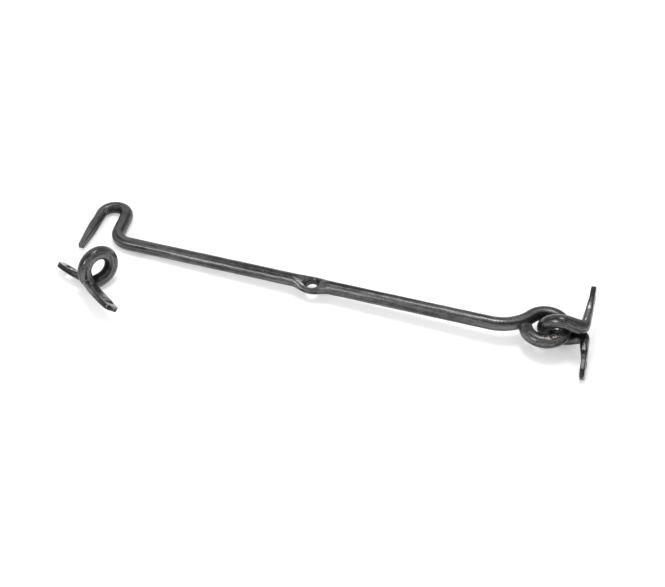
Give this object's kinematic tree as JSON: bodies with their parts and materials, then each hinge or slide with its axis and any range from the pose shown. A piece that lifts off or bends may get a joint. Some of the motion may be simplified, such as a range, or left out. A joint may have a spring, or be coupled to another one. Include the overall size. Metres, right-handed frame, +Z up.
{
  "type": "cabin hook",
  "caption": "Forged round-bar cabin hook: hook arm with a pierced swell, linked to its pivot staple, with a loose keeper staple.",
  "frame": {"origin": "centre of the set's footprint, on the surface it lies on", "axes": "+X along the bar from the hook to the pivot staple, +Y to the hook's side, +Z up"},
  "size_m": [0.3158, 0.099, 0.0288],
  "materials": {
    "dark_forged_steel": "satin"
  },
  "bodies": {
    "arm": {"hook_arm": "dark_forged_steel", "keeper_staple": "dark_forged_steel"},
    "pivot": {"pivot_staple": "dark_forged_steel"}
  },
  "joints": [
    {"name": "eye_swing", "type": "hinge", "parent": "arm", "child": "pivot", "pos_m": [0.12968, 0.02202, 0.01264], "axis": [-0.0323, 0, 0.9995], "range_deg": [-90, 90]}
  ]
}
